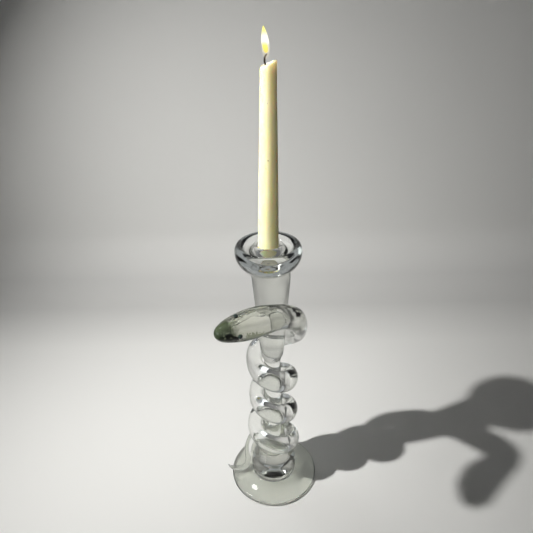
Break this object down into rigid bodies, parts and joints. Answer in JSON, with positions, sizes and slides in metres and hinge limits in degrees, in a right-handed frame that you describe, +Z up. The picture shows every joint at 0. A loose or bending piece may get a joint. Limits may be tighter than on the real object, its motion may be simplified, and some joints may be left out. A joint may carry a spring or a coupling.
{
  "type": "candlestick",
  "caption": "Clear glass candlestick with a round foot, ball knop, solid tapered neck and drip cup, a glass snake coiled round the stem, and a lift-out taper candle.",
  "frame": {"origin": "centre of the foot's flat underside, on the table", "axes": "+Z up along the stem, +X to the right and +Y to the back when the snake's head lies across the front with its nose to the left"},
  "size_m": [0.1173, 0.1604, 0.5291],
  "materials": {
    "clear_glass": "fire polished",
    "smoky_glass": "fire polished",
    "green_glass": "fire polished",
    "dark_glass": "fire polished",
    "wax": "satin wax",
    "wick": "charred"
  },
  "bodies": {
    "candlestick": {"foot": "clear_glass", "base_knop": "clear_glass", "stem": "clear_glass", "neck_cone": "clear_glass", "cup": "clear_glass", "snake_body": "clear_glass", "snake_head": "smoky_glass", "snake_nose": "green_glass", "snake_eye_upper": "dark_glass", "snake_eye_lower": "dark_glass"},
    "candle": {"candle_wax": "wax", "candle_wick": "wick"}
  },
  "joints": [
    {"name": "candle_lift", "type": "slide", "parent": "candlestick", "child": "candle", "axis": [0.0148, 0, 0.9999], "range_m": [0, 0.06]}
  ]
}
